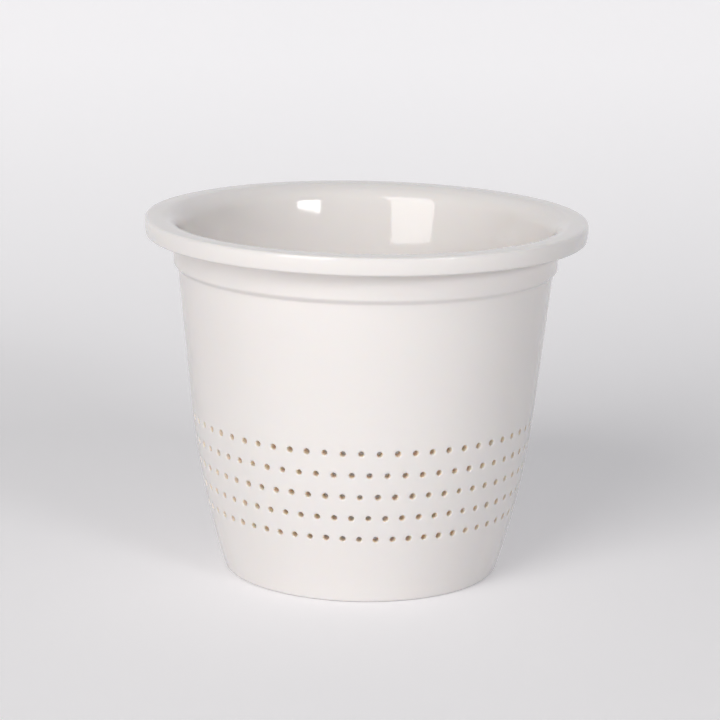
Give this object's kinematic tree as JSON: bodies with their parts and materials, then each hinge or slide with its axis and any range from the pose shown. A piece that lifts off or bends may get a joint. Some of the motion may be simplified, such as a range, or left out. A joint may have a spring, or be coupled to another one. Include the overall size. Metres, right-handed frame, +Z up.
{
  "type": "tea infuser basket",
  "caption": "Porcelain tea infuser basket with a wide rim flange, a collar that fits a mug's mouth and rows of small holes round its lower wall.",
  "frame": {"origin": "middle of the foot ring, on the surface that the basket stands on", "axes": "+Z up along the basket's axis, out through its mouth; -Y is the side that faces the camera"},
  "size_m": [0.0885, 0.0884, 0.0719],
  "materials": {
    "glazed_porcelain": "warm white gloss glaze over a slightly translucent porcelain body"
  },
  "bodies": {
    "root": {"infuser_basket": "glazed_porcelain"}
  },
  "joints": []
}
